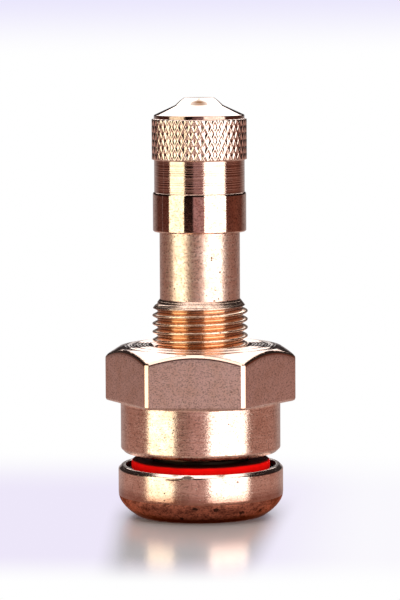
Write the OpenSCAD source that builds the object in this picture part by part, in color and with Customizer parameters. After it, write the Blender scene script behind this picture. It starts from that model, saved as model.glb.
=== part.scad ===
// Clamp-in tyre valve, standing on its foot with its axis along Z.
// A turned stem carries a sealing foot, a sealing ring, a collar nut that clamps the rim,
// a knurled sealing cap and, inside the bore, the spring-loaded valve core.

/* [Foot] */
// Diameter of the foot that bears on the inside of the rim
foot_d = 16.8; // [15.5:0.1:22]
// Height of the foot up to its rim
foot_h = 5.12; // [4:0.02:7]
// Width and height of the bevel on the lower edge of the foot
foot_bevel = 1.8; // [0.5:0.05:2.5]
// How far the bevel bulges out in its middle
foot_bulge = 0.1; // [0.02:0.02:0.3]
// Width and height of the chamfer on the upper edge of the foot
foot_chamfer = 0.35; // [0.1:0.05:0.6]
// Width of the flat rim left around the ring recess
foot_lip = 0.4; // [0.3:0.05:0.9]
// Depth of the ring recess below the rim
recess_depth = 0.65; // [0.2:0.05:1.2]

/* [Shank and neck] */
// Outside diameter of the clamping thread
shank_d = 9.7; // [9:0.05:10.2]
// Pitch of the clamping thread
shank_pitch = 0.84; // [0.7:0.01:1.1]
// Length of the shank from the recess floor to the end of its thread
shank_l = 16.58; // [15:0.02:24]
// Length of plain shank under the thread, where the ring sits
shank_plain = 1.45; // [1:0.05:3]
// Length of the cone that runs out from the thread to the neck
runout_l = 1.0; // [0.4:0.05:2]
// Diameter of the plain neck
neck_d = 8.14; // [7.9:0.02:8.5]
// Length of the plain neck
neck_l = 7.45; // [5:0.05:20]

/* [Mouth] */
// Outside diameter of the cap thread
mouth_d = 7.7; // [7.5:0.05:7.85]
// Pitch of the cap thread
mouth_pitch = 0.794; // [0.7:0.001:0.9]
// Length of the cap thread, from the top of the neck to the mouth
mouth_l = 9.5; // [9:0.05:12]
// Width of the chamfer at the mouth, outside and inside
mouth_chamfer = 0.3; // [0.1:0.05:0.4]

/* [Bore] */
// Diameter of the air bore through the foot
air_d = 3.8; // [3.6:0.05:4]
// Width of the chamfer where the air bore leaves the foot
air_chamfer = 0.3; // [0.1:0.05:0.6]
// Diameter of the core bore at the mouth
core_bore_d = 5.2; // [5.1:0.05:5.4]
// Diameter at the wide end of the taper that seals the core
seat_d = 4.8; // [4.6:0.05:5]
// Depth of the wide end of the taper below the mouth
seat_depth = 7.3; // [7:0.05:8]
// Length of the sealing taper
seat_l = 1.9; // [1.5:0.05:2.5]

/* [Sealing ring] */
// Width of the ring from its hole to its outside
ring_w = 2.14; // [1.4:0.02:2.5]
// Height of the ring
ring_t = 1.2; // [0.8:0.05:1.6]
// Radius of the ring's rounded edges
ring_round = 0.35; // [0.1:0.05:0.4]

/* [Collar nut] */
// Width of the hexagon across its flats
hex_af = 17; // [16.5:0.1:22]
// Height of the hexagon
hex_h = 5.75; // [4:0.05:8]
// Width of the turned strip left on each corner of the hexagon
hex_corner_w = 0.55; // [0.2:0.05:1]
// Angle of the chamfer on top of the hexagon
hex_chamfer_angle = 33; // [15:1:40]
// Diameter of the flat top face inside the chamfer
hex_top_d = 15.8; // [13:0.1:16]
// Diameter of the round collar under the hexagon
collar_d = 16.26; // [15:0.02:16.4]
// Height of the collar
collar_h = 5.15; // [3:0.05:8]
// Width of the chamfer on the lower edge of the collar
collar_chamfer = 0.4; // [0.1:0.05:0.6]
// Width of the chamfer at both ends of the nut's thread
nut_bore_chamfer = 0.4; // [0.1:0.05:0.8]

/* [Cap] */
// Diameter of the plain band around the open end
band_d = 9.47; // [9.3:0.01:10]
// Height of the band
band_h = 3.97; // [2.5:0.01:5]
// Diameter of the turned sleeve and of the rim above the knurl
sleeve_d = 9.17; // [9:0.01:9.25]
// Height of the turned sleeve
sleeve_h = 3.25; // [2:0.01:5]
// Height of the knurl
knurl_h = 4.2; // [3:0.05:6]
// Diameter over the tips of the knurl
knurl_d = 9.62; // [9.5:0.01:10]
// Depth of the knurl's valleys
knurl_depth = 0.2; // [0.1:0.01:0.22]
// Diamonds around the knurl
knurl_count = 43; // [36:1:60]
// Rows of half diamonds from end to end of the knurl
knurl_rows = 6; // [4:1:9]
// Height of the plain rim above the knurl
rim_h = 0.34; // [0.2:0.02:0.8]
// Diameter at the top of the crown's cone
crown_d = 4.8; // [4:0.1:6]
// Height of the crown's cone
crown_h = 1.0; // [0.6:0.05:1.5]
// Diameter of the flat pip in the middle of the crown
pip_d = 3.0; // [2:0.1:3.6]
// Height of the pip
pip_h = 0.75; // [0.4:0.05:1.2]
// Thickness of the cap's end wall at the foot of the crown's cone
roof_t = 0.4; // [0.2:0.05:0.6]
// Width of the small chamfers on the band
band_chamfer = 0.12; // [0.05:0.01:0.25]
// Diameter of the cap's rubber disc
gasket_d = 7.1; // [6.6:0.05:7.5]
// Thickness of the cap's rubber disc
gasket_t = 1.2; // [0.8:0.05:1.6]

/* [Core] */
// Depth of the plug's bridge below the mouth
plug_depth = 1.6; // [1.4:0.05:1.8]
// Height of the bridge that the core key turns
bridge_h = 1.0; // [0.8:0.05:1.5]
// Width of the bridge
bridge_w = 2.6; // [2.4:0.05:3]
// Length of the plug's thread
plug_l = 3.0; // [2.5:0.05:3.4]
// Pitch of the plug's thread
plug_pitch = 0.705; // [0.6:0.005:0.8]
// Length of the spigot that the barrel swivels on
spigot_l = 0.95; // [0.8:0.05:1.2]
// Outside diameter of the barrel
barrel_d = 3.5; // [3.4:0.02:3.6]
// Wall thickness of the barrel
barrel_wall = 0.4; // [0.35:0.01:0.45]
// Length of the barrel
barrel_l = 7.5; // [7:0.05:8]
// Thickness of the barrel's floor
barrel_floor = 0.6; // [0.4:0.05:0.8]
// Diameter of the barrel's flange above the gasket
flange_d = 4.6; // [4.4:0.02:4.8]
// Thickness of the barrel's flange
flange_t = 0.4; // [0.3:0.05:0.6]
// Height of the barrel's tapered gasket
taper_h = 1.4; // [1.2:0.05:1.6]
// Diameter of the pin
pin_d = 1.2; // [1.1:0.02:1.3]
// Depth of the pin's tip below the mouth
pin_depth = 0.25; // [0.1:0.05:0.4]
// Diameter of the pin's collar that the spring pushes on
pin_collar_d = 2.3; // [2.2:0.02:2.4]
// Thickness of the pin's collar
pin_collar_t = 0.4; // [0.3:0.05:0.5]
// Diameter of the riveted head under the plunger
rivet_d = 1.8; // [1.6:0.05:2]
// Height of the riveted head
rivet_h = 0.5; // [0.3:0.05:0.8]
// Diameter of the spring's wire
wire_d = 0.28; // [0.2:0.02:0.3]
// Turns of the spring
spring_turns = 8; // [6:1:9]
// Diameter of the plunger's rubber washer
washer_d = 3.0; // [2.8:0.02:3.1]
// Thickness of the plunger's rubber washer
washer_t = 0.8; // [0.6:0.05:1]
// Thickness of the plunger cup's wall
cup_wall = 0.15; // [0.1:0.01:0.18]
// Thickness of the plunger cup's floor
cup_floor = 0.5; // [0.4:0.05:0.7]
// Height of the plunger cup's wall around the washer
cup_lip = 0.4; // [0.3:0.05:0.5]

/* [Fits] */
// Gap between the sealing ring and the shank
ring_clear = 0.07; // [0.03:0.01:0.15]
// Gap between the sealing ring and the nut, before the nut is tightened
nut_gap = 0.78; // [0.1:0.02:1.2]
// Radial clearance in every thread
thread_clear = 0.07; // [0.05:0.01:0.1]
// Radial clearance between the cap's skirt and the neck
skirt_clear = 0.1; // [0.05:0.01:0.12]
// Clearance of the pieces that seat on each other
seat_clear = 0.03; // [0.02:0.01:0.05]
// Radial clearance of the pin in the plug
pin_clear = 0.1; // [0.05:0.01:0.15]
// Radial clearance around the pin that lets the air through the barrel's floor
air_clear = 0.35; // [0.3:0.01:0.4]

/* [Hidden] */
$fn = 96;

brass = [0.80, 0.58, 0.45];
core_brass = [0.83, 0.66, 0.38];
red_rubber = [0.86, 0.06, 0.05];
black_rubber = [0.10, 0.10, 0.10];
spring_steel = [0.62, 0.62, 0.64];

// How far a cutting shape runs past the face that it opens
over = 1;
// Shape of a 60 degree thread, in pitches
thread_depth_share = 0.62;
crest_share = 1 / 8;
root_share = 1 / 8;

foot_r = foot_d / 2;
recess_r = foot_r - foot_chamfer - foot_lip;
shank_r = shank_d / 2;
neck_r = neck_d / 2;
mouth_r = mouth_d / 2;
air_r = air_d / 2;
core_bore_r = core_bore_d / 2;
seat_r = seat_d / 2;
ring_hole_r = shank_r + ring_clear;

// Heights up the stem
recess_z = foot_h - recess_depth;
shank_top = recess_z + shank_l;
neck_z = shank_top + runout_l;
neck_top = neck_z + neck_l;
mouth_z = neck_top + mouth_l;
seat_z = mouth_z - seat_depth;

// Heights of the ring and the nut
ring_z = recess_z + seat_clear;
nut_z = ring_z + ring_t + nut_gap;
hex_z = nut_z + collar_h;
nut_top = hex_z + hex_h;
nut_bore_r = shank_r + thread_clear;

// Heights of the cap, from its disc on the mouth outwards
gasket_z = mouth_z + seat_clear;
roof_z = gasket_z + gasket_t + seat_clear;
rim_z = roof_z + roof_t;
crown_z = rim_z + crown_h;
knurl_top = rim_z - rim_h;
knurl_z = knurl_top - knurl_h;
band_top = knurl_z - sleeve_h;
cap_z = band_top - band_h;
band_r = band_d / 2;
sleeve_r = sleeve_d / 2;
cap_bore_r = mouth_r + thread_clear;
skirt_r = neck_r + skirt_clear;
skirt_top = neck_top + skirt_clear;
gasket_r = gasket_d / 2;

// Heights of the core, from the mouth down
bridge_top = mouth_z - plug_depth;
plug_top = bridge_top - bridge_h;
plug_z = plug_top - plug_l;
spigot_z = plug_z - spigot_l;
plug_r = core_bore_r - thread_clear;
pin_r = pin_d / 2;
pin_hole_r = pin_r + pin_clear;
barrel_top = plug_z - seat_clear;
barrel_z = barrel_top - barrel_l;
barrel_r = barrel_d / 2;
barrel_bore_r = barrel_r - barrel_wall;
spigot_r = barrel_bore_r - seat_clear;
floor_top = barrel_z + barrel_floor;
taper_top = seat_z;
taper_z = taper_top - taper_h;
flange_z = taper_top + seat_clear;
pin_tip = mouth_z - pin_depth;
pin_collar_top = spigot_z - seat_clear;
pin_collar_z = pin_collar_top - pin_collar_t;
spring_z = floor_top + seat_clear;
spring_top = pin_collar_z - seat_clear;
washer_r = washer_d / 2;
washer_z = barrel_z - seat_clear - washer_t;
cup_r = washer_r + seat_clear + cup_wall;
cup_z = washer_z - seat_clear - cup_floor;
rivet_top = cup_z - seat_clear;

// Radius of the sealing taper in the bore at height z
function seat_radius(z) = air_r + (seat_r - air_r) * (z - (seat_z - seat_l)) / seat_l;

// Outline of a thread drawn as rings: turns of crest, flank, root and flank from height z up
function thread_outline(r, pitch, z, turns) =
    [for (i = [0 : turns - 1])
        for (p = [[0, 0], [0, crest_share], [-thread_depth_share, 0.5],
                  [-thread_depth_share, 0.5 + root_share]])
            [r + p[0] * pitch, z + (i + p[1]) * pitch]];

// Whole turns of a thread that fit in a length
function turns_in(length, pitch) = floor(length / pitch);

// Ring of rectangular section
module washer(r_in, r_out, z, h) {
    translate([0, 0, z])
        difference() {
            cylinder(r = r_out, h = h);
            translate([0, 0, -over]) cylinder(r = r_in, h = h + 2 * over);
        }
}

// Half section of the foot, with its bulged lower bevel, chamfered rim and ring recess
module foot_section() {
    steps = 8;
    difference() {
        polygon(concat(
            [[0, 0]],
            [for (i = [0 : steps])
                let (t = i / steps, out = foot_bulge * 4 * t * (1 - t) / sqrt(2))
                [foot_r - foot_bevel * (1 - t) + out, foot_bevel * t - out]],
            [[foot_r, foot_h], [0, foot_h]]));
        translate([0, recess_z]) square([recess_r, recess_depth + over]);
        polygon([[foot_r - foot_chamfer, foot_h], [foot_r + over, foot_h - foot_chamfer - over],
                 [foot_r + over, foot_h]]);
    }
}

// Half section of the shank, neck and mouth, with both threads
module stem_section() {
    shank_thread_z = recess_z + shank_plain;
    shank_turns = turns_in(shank_l - shank_plain, shank_pitch);
    mouth_turns = turns_in(mouth_l - mouth_chamfer - mouth_pitch, mouth_pitch);
    mouth_thread_z = mouth_z - mouth_chamfer - mouth_turns * mouth_pitch;
    polygon(concat(
        [[0, recess_z - recess_depth], [shank_r, recess_z - recess_depth]],
        thread_outline(shank_r, shank_pitch, shank_thread_z, shank_turns),
        [[shank_r, shank_thread_z + shank_turns * shank_pitch], [shank_r, shank_top],
         [neck_r, neck_z], [neck_r, neck_top], [mouth_r, neck_top]],
        thread_outline(mouth_r, mouth_pitch, mouth_thread_z, mouth_turns),
        [[mouth_r, mouth_z - mouth_chamfer], [mouth_r - mouth_chamfer, mouth_z], [0, mouth_z]]));
}

// Half section of the bore: air bore, sealing taper and core bore
module bore_section() {
    polygon([[0, -over], [air_r + air_chamfer + over, -over], [air_r, air_chamfer],
             [air_r, seat_z - seat_l], [seat_r, seat_z], [core_bore_r, seat_z + core_bore_r - seat_r],
             [core_bore_r, mouth_z - mouth_chamfer], [core_bore_r + mouth_chamfer + over, mouth_z + over],
             [0, mouth_z + over]]);
}

// Foot, threaded shank, neck and mouth, turned from one bar
module valve_body() {
    color(brass)
        rotate_extrude()
            difference() {
                union() {
                    foot_section();
                    stem_section();
                }
                bore_section();
            }
}

// Half section of the sealing ring, flat with rounded edges
module ring_section() {
    translate([ring_round, 0]) square([ring_w - 2 * ring_round, ring_t]);
    translate([0, ring_round]) square([ring_w, ring_t - 2 * ring_round]);
    for (x = [ring_round, ring_w - ring_round], y = [ring_round, ring_t - ring_round])
        translate([x, y]) circle(ring_round);
}

// Sealing ring that lies in the foot's recess around the shank
module seal_ring() {
    color(red_rubber)
        translate([0, 0, ring_z])
            rotate_extrude()
                translate([ring_hole_r, 0]) ring_section();
}

// Half section that trims the hexagon: turned corners and the chamfered top
module hex_trim_section() {
    hex_top_r = hex_top_d / 2;
    corner_r = sqrt(pow(hex_af / 2, 2) + pow(hex_af / 2 * tan(30) - hex_corner_w / 2, 2));
    drop = (corner_r - hex_top_r) * tan(hex_chamfer_angle);
    polygon([[0, hex_z], [corner_r, hex_z], [corner_r, nut_top - drop], [hex_top_r, nut_top], [0, nut_top]]);
}

// Half section of the collar with its chamfered lower edge
module collar_section() {
    collar_r = collar_d / 2;
    polygon([[0, nut_z], [collar_r - collar_chamfer, nut_z], [collar_r, nut_z + collar_chamfer],
             [collar_r, hex_z], [0, hex_z]]);
}

// Half section of the nut's bore, chamfered at both ends
module nut_bore_section() {
    mouth = nut_bore_r + nut_bore_chamfer + over;
    polygon([[0, nut_z - over], [mouth, nut_z - over], [nut_bore_r, nut_z + nut_bore_chamfer],
             [nut_bore_r, nut_top - nut_bore_chamfer], [mouth, nut_top + over], [0, nut_top + over]]);
}

// Hexagon nut with a round collar, turned from one hexagon bar
module collar_nut() {
    color(brass)
        difference() {
            union() {
                rotate_extrude() collar_section();
                intersection() {
                    translate([0, 0, hex_z]) cylinder(r = hex_af / 2 / cos(30), h = hex_h, $fn = 6);
                    rotate_extrude() hex_trim_section();
                }
            }
            rotate_extrude() nut_bore_section();
        }
}

// Half section of the cap without its knurl
module cap_section() {
    difference() {
        polygon([[0, cap_z], [band_r - band_chamfer, cap_z], [band_r, cap_z + band_chamfer],
                 [band_r, band_top - band_chamfer], [band_r - band_chamfer, band_top],
                 [sleeve_r, band_top], [sleeve_r, rim_z], [crown_d / 2, crown_z],
                 [pip_d / 2, crown_z + pip_h], [0, crown_z + pip_h]]);
        translate([0, cap_z - over]) square([skirt_r, skirt_top - cap_z + over]);
        translate([0, cap_z]) square([cap_bore_r, gasket_z - cap_z]);
        translate([0, cap_z]) square([gasket_r + seat_clear, roof_z - cap_z]);
    }
}

// Diamond knurl: a ring of four-sided pyramids, whose tips and valleys alternate over a grid
module knurl_ring() {
    tip_r = knurl_d / 2;
    valley_r = tip_r - knurl_depth;
    inner_r = (sleeve_r + cap_bore_r) / 2;
    steps = 2 * knurl_count;
    row_h = knurl_h / knurl_rows;
    levels = knurl_rows + 1;

    function is_tip(i, k) = (i + k) % 2;
    function around(r, i, z) = [r * cos(360 * i / steps), r * sin(360 * i / steps), z];
    function outer(i, k) = k * steps + i % steps;
    function inner(i, end) = (levels + end) * steps + i % steps;

    points = concat(
        [for (k = [0 : knurl_rows]) for (i = [0 : steps - 1])
            around(is_tip(i, k) ? tip_r : valley_r, i, knurl_z + k * row_h)],
        [for (end = [0, 1]) for (i = [0 : steps - 1])
            around(inner_r, i, knurl_z + end * knurl_h)]);
    pyramids = [for (k = [0 : knurl_rows - 1]) for (i = [0 : steps - 1])
        each is_tip(i, k)
            ? [[outer(i, k), outer(i, k + 1), outer(i + 1, k)],
               [outer(i + 1, k), outer(i, k + 1), outer(i + 1, k + 1)]]
            : [[outer(i, k), outer(i, k + 1), outer(i + 1, k + 1)],
               [outer(i, k), outer(i + 1, k + 1), outer(i + 1, k)]]];
    ends = [for (i = [0 : steps - 1])
        each [[outer(i, 0), outer(i + 1, 0), inner(i + 1, 0), inner(i, 0)],
              [outer(i + 1, knurl_rows), outer(i, knurl_rows), inner(i, 1), inner(i + 1, 1)]]];
    bore = [for (i = [0 : steps - 1])
        [inner(i, 0), inner(i + 1, 0), inner(i + 1, 1), inner(i, 1)]];
    polyhedron(points, concat(pyramids, ends, bore), convexity = 4);
}

// Sealing cap turned in one piece: band, sleeve, knurl and crown
module cap_shell() {
    color(brass)
        union() {
            rotate_extrude() cap_section();
            knurl_ring();
        }
}

// Rubber disc inside the cap that closes the mouth
module cap_gasket() {
    color(black_rubber)
        translate([0, 0, gasket_z]) cylinder(r = gasket_r, h = gasket_t);
}

// Threaded plug that holds the core down, with a bridge for the core key and a swivel spigot
module core_plug() {
    turns = turns_in(plug_l, plug_pitch);
    color(core_brass)
        difference() {
            union() {
                rotate_extrude()
                    polygon(concat(
                        [[0, spigot_z], [spigot_r, spigot_z], [spigot_r, plug_z]],
                        thread_outline(plug_r, plug_pitch, plug_z, turns),
                        [[plug_r, plug_z + turns * plug_pitch], [plug_r, plug_top], [0, plug_top]]));
                intersection() {
                    translate([-plug_r, -bridge_w / 2, plug_z])
                        cube([2 * plug_r, bridge_w, bridge_top - plug_z]);
                    translate([0, 0, plug_z])
                        cylinder(r = plug_r - plug_pitch * thread_depth_share, h = bridge_top - plug_z);
                }
            }
            translate([0, 0, spigot_z - over])
                cylinder(r = pin_hole_r, h = bridge_top - spigot_z + 2 * over);
        }
}

// Tube that hangs from the plug, with a flange over its gasket and a floor that the air passes
module core_barrel() {
    color(core_brass)
        rotate_extrude()
            difference() {
                union() {
                    translate([0, barrel_z]) square([barrel_r, barrel_l]);
                    translate([0, flange_z]) square([flange_d / 2, flange_t]);
                }
                translate([0, barrel_z - over]) square([pin_r + air_clear, barrel_floor + 2 * over]);
                translate([0, floor_top]) square([barrel_bore_r, barrel_top - floor_top + over]);
            }
}

// Tapered gasket that the barrel presses into the seat in the bore
module core_gasket() {
    color(red_rubber)
        rotate_extrude()
            polygon([[barrel_r + seat_clear, taper_z], [seat_radius(taper_z) - seat_clear, taper_z],
                     [seat_radius(taper_top) - seat_clear, taper_top], [barrel_r + seat_clear, taper_top]]);
}

// Pin that opens the core when it is pushed down, with its spring collar and riveted end
module core_pin() {
    color(core_brass)
        rotate_extrude()
            polygon([[0, rivet_top - rivet_h], [rivet_d / 2, rivet_top - rivet_h], [rivet_d / 2, rivet_top],
                     [pin_r, rivet_top], [pin_r, pin_collar_z], [pin_collar_d / 2, pin_collar_z],
                     [pin_collar_d / 2, pin_collar_top], [pin_r, pin_collar_top],
                     [pin_r, pin_tip - pin_r / 2], [pin_r / 2, pin_tip], [0, pin_tip]]);
}

// Coil spring around the pin, between the barrel's floor and the pin's collar
module core_spring() {
    sides = 6;
    steps_per_turn = 14;
    steps = spring_turns * steps_per_turn;
    wire_r = wire_d / 2;
    coil_r = (pin_r + barrel_bore_r) / 2;
    rise = spring_top - spring_z - wire_d;

    function on_wire(step, side) =
        let (turn = 360 * step / steps_per_turn,
             r = coil_r + wire_r * cos(360 * side / sides),
             z = spring_z + wire_r + rise * step / steps + wire_r * sin(360 * side / sides))
        [r * cos(turn), r * sin(turn), z];
    function index(step, side) = step * sides + side % sides;

    points = [for (step = [0 : steps]) for (side = [0 : sides - 1]) on_wire(step, side)];
    skin = [for (step = [0 : steps - 1]) for (side = [0 : sides - 1])
        [index(step, side), index(step, side + 1), index(step + 1, side + 1), index(step + 1, side)]];
    start = [for (side = [sides - 1 : -1 : 0]) index(0, side)];
    finish = [for (side = [0 : sides - 1]) index(steps, side)];
    color(spring_steel) polyhedron(points, concat(skin, [start, finish]), convexity = 10);
}

// Cup riveted to the pin's lower end, which holds the washer
module core_plunger() {
    color(core_brass)
        difference() {
            translate([0, 0, cup_z]) cylinder(r = cup_r, h = washer_z + cup_lip - cup_z);
            translate([0, 0, washer_z - seat_clear])
                cylinder(r = washer_r + seat_clear, h = cup_lip + over);
            translate([0, 0, cup_z - over]) cylinder(r = pin_r + seat_clear, h = cup_floor + 2 * over);
        }
}

// Rubber washer in the plunger cup that closes the barrel's lower end
module plunger_seal() {
    color(black_rubber) washer(pin_r + seat_clear, washer_r, washer_z, washer_t);
}

valve_body();
seal_ring();
collar_nut();
cap_shell();
cap_gasket();
core_plug();
core_barrel();
core_gasket();
core_pin();
core_spring();
core_plunger();
plunger_seal();
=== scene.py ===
"""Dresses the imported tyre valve: turned brass, a knurled cap and a red sealing ring on a pale floor."""

from __future__ import annotations

import logging
import math
from dataclasses import dataclass, field
from enum import Enum
from functools import partial, reduce
from typing import Callable, Mapping, Optional, Sequence, Union

import bmesh
import bpy
from mathutils import Matrix, Vector

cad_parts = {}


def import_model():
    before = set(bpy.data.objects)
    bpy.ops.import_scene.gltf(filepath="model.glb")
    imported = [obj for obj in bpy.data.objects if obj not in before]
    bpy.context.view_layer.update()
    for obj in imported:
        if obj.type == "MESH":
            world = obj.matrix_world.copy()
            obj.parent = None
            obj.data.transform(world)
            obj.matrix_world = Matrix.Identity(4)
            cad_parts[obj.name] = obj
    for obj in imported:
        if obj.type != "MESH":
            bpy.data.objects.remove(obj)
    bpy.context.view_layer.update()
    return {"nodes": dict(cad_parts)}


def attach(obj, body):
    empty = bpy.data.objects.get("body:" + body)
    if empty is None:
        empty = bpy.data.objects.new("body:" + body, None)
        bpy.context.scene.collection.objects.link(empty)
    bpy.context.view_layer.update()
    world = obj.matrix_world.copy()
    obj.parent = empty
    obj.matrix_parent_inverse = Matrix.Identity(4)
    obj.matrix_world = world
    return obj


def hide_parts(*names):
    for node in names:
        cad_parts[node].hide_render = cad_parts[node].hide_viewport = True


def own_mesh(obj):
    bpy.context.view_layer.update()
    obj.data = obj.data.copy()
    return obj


LOG = logging.getLogger("tyre_valve")
MM = 0.001
WELD = 2e-6

Colour = tuple[float, float, float]
Span = tuple[float, float]
Socket = bpy.types.NodeSocket
Value = Union["Sock", Socket, float, int, bool, tuple, bpy.types.Material]
Inputs = Mapping[Union[str, int], Value]
Place = Callable[[float], tuple[float, float]]

WHITE: Colour = (1.0, 1.0, 1.0)


def step(operation: str, swapped: bool = False) -> Callable[..., Sock]:
    """Makes a method of Sock that does one step of arithmetic.

    Args:
        operation: the name of the step.
        swapped: whether the other number comes first.

    Returns:
        The method.
    """

    def method(self: Sock, *others: Value) -> Sock:
        """Does the step on this number and the others."""
        return self.graph.math(operation, *((*others, self) if swapped else (self, *others)))

    return method


class Sock:
    """A number in a node tree, which Python's operators and a few named steps combine."""

    def __init__(self, graph: Graph, socket: Socket) -> None:
        """Keeps a tree's wrapper and the socket that gives the number."""
        self.graph = graph
        self.socket = socket

    __add__ = __radd__ = step("ADD")
    __sub__ = step("SUBTRACT")
    __rsub__ = step("SUBTRACT", swapped=True)
    __mul__ = __rmul__ = step("MULTIPLY")
    __truediv__ = step("DIVIDE")
    __abs__ = step("ABSOLUTE")
    least = step("MINIMUM")
    most = step("MAXIMUM")
    below = step("LESS_THAN")
    root = step("SQRT")
    part = step("FRACT")

    def ramp(self, low: Value, high: Value) -> Sock:
        """A smooth step from 0 at low to 1 at high, where high may lie under low."""
        ends = {0: self, 1: low, 2: high, 3: 0.0, 4: 1.0}
        return Sock(self.graph, self.graph.out("ShaderNodeMapRange", ends, interpolation_type="SMOOTHSTEP"))

    def swing(self, width: float) -> Sock:
        """Noise from 0 to 1, moved to lie around 0 and made as wide as given."""
        return (self - 0.5) * width


def norm(*parts: Sock) -> Sock:
    """The length of a vector, from its numbers."""
    return reduce(Sock.__add__, [part * part for part in parts]).root()


class Graph:
    """A node tree of a material, the world or a geometry rule."""

    def __init__(self, tree: bpy.types.NodeTree) -> None:
        """Takes over a tree and empties it."""
        self.tree = tree
        tree.nodes.clear()

    def node(self, kind: str, inputs: Optional[Inputs] = None, **settings: object) -> bpy.types.Node:
        """Adds a node.

        Args:
            kind: the node's type.
            inputs: the values or links of its sockets, by name or number.
            settings: its own settings, set first.

        Returns:
            The node.
        """
        node = self.tree.nodes.new(kind)
        for name, value in settings.items():
            setattr(node, name, value)
        for name, value in (inputs or {}).items():
            source = value.socket if isinstance(value, Sock) else value
            if isinstance(source, Socket):
                self.tree.links.new(source, node.inputs[name])
            else:
                node.inputs[name].default_value = source
        return node

    def out(self, kind: str, inputs: Inputs, **settings: object) -> Socket:
        """Adds a node and gives its first output."""
        return self.node(kind, inputs, **settings).outputs[0]

    def math(self, operation: str, *values: Value) -> Sock:
        """One step of arithmetic on some values."""
        return Sock(self, self.out("ShaderNodeMath", dict(enumerate(values)), operation=operation))

    def split(self, vector: Socket) -> tuple[Sock, Sock, Sock]:
        """A vector's three numbers."""
        x, y, z = self.node("ShaderNodeSeparateXYZ", {0: vector}).outputs
        return Sock(self, x), Sock(self, y), Sock(self, z)

    def joined(self, x: Value, y: Value, z: Value) -> Socket:
        """A vector made from three numbers."""
        return self.out("ShaderNodeCombineXYZ", {0: x, 1: y, 2: z})

    def millimetres(self) -> Socket:
        """The place on the piece in millimetres, in the frame that all pieces share."""
        place = self.node("ShaderNodeTexCoord").outputs["Object"]
        return self.out("ShaderNodeVectorMath", {0: place, "Scale": 1 / MM}, operation="SCALE")

    def noise(self, vector: Socket, scale: float, detail: float = 2.0, rough: float = 0.5) -> Sock:
        """Cloudy noise from 0 to 1: its lumps to a millimetre, its finer layers and their strength."""
        inputs = {"Vector": vector, "Scale": scale, "Detail": detail, "Roughness": rough}
        return Sock(self, self.out("ShaderNodeTexNoise", inputs, noise_dimensions="3D"))

    def lines(self, along: Value, rate: float) -> Sock:
        """Noise that changes along one number only, such as a tool's marks."""
        inputs = {"W": along, "Scale": rate, "Detail": 3.0, "Roughness": 0.6}
        return Sock(self, self.out("ShaderNodeTexNoise", inputs, noise_dimensions="1D"))

    def spots(self, vector: Socket, scale: float, share: float, size: float) -> Sock:
        """Scattered round spots.

        Args:
            vector: the place.
            scale: how many cells there are to a millimetre.
            share: the share of cells that hold a spot.
            size: a spot's reach in its cell.

        Returns:
            1 inside a spot, 0 outside.
        """
        cells = self.node("ShaderNodeTexVoronoi", {"Vector": vector, "Scale": scale}, feature="F1").outputs
        chance, growth, _ = self.split(cells["Color"])
        reach = growth * size + 0.3 * size
        return Sock(self, cells["Distance"]).ramp(reach, 0.5 * reach) * chance.below(share)

    def blend(self, share: Value, first: Value, second: Value) -> Socket:
        """A colour between two colours, by the share of the second."""
        ends = [(*c, 1.0) if isinstance(c, tuple) and len(c) == 3 else c for c in (first, second)]
        return self.node("ShaderNodeMix", {0: share, 6: ends[0], 7: ends[1]}, data_type="RGBA").outputs[2]

    def tones(self, place: Value, stops: Sequence[tuple[float, Colour]]) -> Socket:
        """A colour that changes with a number.

        Args:
            place: the number, from 0 to 1.
            stops: numbers in order, with their colours.

        Returns:
            The colour.
        """
        node = self.node("ShaderNodeValToRGB", {0: place})
        elements = node.color_ramp.elements
        while len(elements) < len(stops):
            elements.new(1.0)
        for element, (at, colour) in zip(elements, stops):
            element.position = at
            element.color = (*colour, 1.0)
        return node.outputs[0]

    def relief(self, height: Sock, inputs: Inputs) -> Socket:
        """A surface with relief, from its height in millimetres and the other inputs of its shader."""
        bump = self.out("ShaderNodeBump", {"Strength": 1.0, "Distance": MM, "Height": height})
        return self.out("ShaderNodeBsdfPrincipled", {**inputs, "Normal": bump})

    def glow(self, colour: Value) -> Socket:
        """A surface that shines with a colour."""
        return self.out("ShaderNodeEmission", {"Color": colour, "Strength": 1.0})

    def mixed(self, share: Sock, first: Socket, second: Socket) -> Socket:
        """A shader between two shaders, by the share of the second."""
        return self.out("ShaderNodeMixShader", {0: share, 1: first, 2: second})


def paint(name: str, recipe: Callable[[Graph], Socket]) -> bpy.types.Material:
    """Makes a material.

    Args:
        name: its name.
        recipe: fills its node tree and gives its shader.

    Returns:
        The material.
    """
    skin = bpy.data.materials.new(name)
    skin.use_nodes = True
    graph = Graph(skin.node_tree)
    graph.node("ShaderNodeOutputMaterial", {0: recipe(graph)})
    return skin


class Turned(Enum):
    """Which way a lathe's marks run."""

    AROUND = "rings along the axis"
    FACED = "rings out from the axis"


@dataclass(frozen=True)
class Mark:
    """A nick, dent or spot: its place and half sizes in millimetres."""

    place: tuple[float, float, float]
    reach: tuple[float, float, float]


@dataclass(frozen=True)
class Grain:
    """Fine unevenness: lump size and depth in millimetres, and how much wider than tall a lump is."""

    size: float = 0.12
    depth: float = 0.0015
    flat: float = 1.0


@dataclass(frozen=True)
class Lathe:
    """A tool's marks: their way, number to a millimetre, depth and, if they are regular grooves, pitch."""

    way: Turned
    rate: float
    depth: float
    pitch: float = 0.0


@dataclass(frozen=True)
class Pits:
    """Scattered pits: cells to a millimetre, the share of cells that hold one, and its reach in the cell."""

    rate: float
    share: float
    size: float


@dataclass(frozen=True)
class Flecks:
    """Dark flecks: strength, number to a millimetre, the noise over which they show, and depth."""

    share: float
    rate: float = 4.5
    over: float = 0.44
    depth: float = 0.002


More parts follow.
